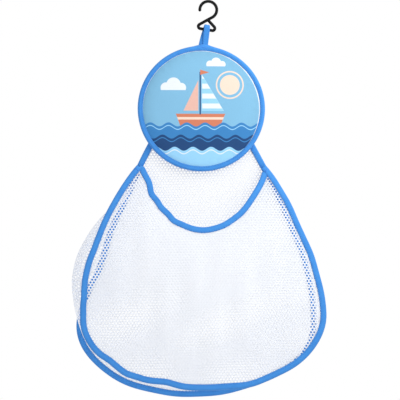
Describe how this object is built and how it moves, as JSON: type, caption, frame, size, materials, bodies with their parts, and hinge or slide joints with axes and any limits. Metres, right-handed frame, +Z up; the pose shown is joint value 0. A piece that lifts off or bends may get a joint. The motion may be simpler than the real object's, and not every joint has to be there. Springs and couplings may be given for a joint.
{
  "type": "hanging bath toy organizer",
  "caption": "Hanging net bag for bath toys: plastic hook, tape loop, padded round medallion and a gusseted bell-shaped pocket with bound seams and a scooped mouth.",
  "frame": {"origin": "inside top of the hook's crook, where a rail or peg bears", "axes": "+Z up along the hanging bag, -Y towards the user, +X to the user's right"},
  "size_m": [0.329, 0.0641, 0.5193],
  "materials": {
    "hook_plastic": "gloss black moulding",
    "binding_tape": "bright blue woven tape",
    "printed_fabric": "sky blue printed cloth",
    "foam": "white sheet foam",
    "backing_fabric": "plain pale cloth",
    "net": "white knitted net"
  },
  "bodies": {
    "hanger": {"hook": "hook_plastic"},
    "loop": {"hanging_loop": "binding_tape"},
    "bag": {"medallion_face": "printed_fabric", "medallion_foam": "foam", "medallion_backing": "backing_fabric", "medallion_binding": "binding_tape", "back_panel": "net", "back_binding": "binding_tape", "gusset": "net"},
    "front": {"front_panel": "net", "front_binding": "binding_tape", "mouth_binding": "binding_tape"}
  },
  "joints": [
    {"name": "hook_swing", "type": "hinge", "parent": "hanger", "child": "loop", "pos_m": [-0.00274, 0, -0.03529], "axis": [0.9877, 0, -0.1564], "range_deg": [-120, 120]},
    {"name": "loop_fold", "type": "hinge", "parent": "loop", "child": "bag", "pos_m": [-0.00556, 0, -0.05307], "axis": [0.9877, 0, -0.1564], "range_deg": [-75, 75]},
    {"name": "front_fold", "type": "hinge", "parent": "bag", "child": "front", "pos_m": [-0.00896, 0.0027, -0.21668], "axis": [1, 0, 0], "range_deg": [0, 10], "stiffness_Nm_per_rad": 0.06, "springref_deg": -14.32, "deforming": ["gusset"]}
  ]
}
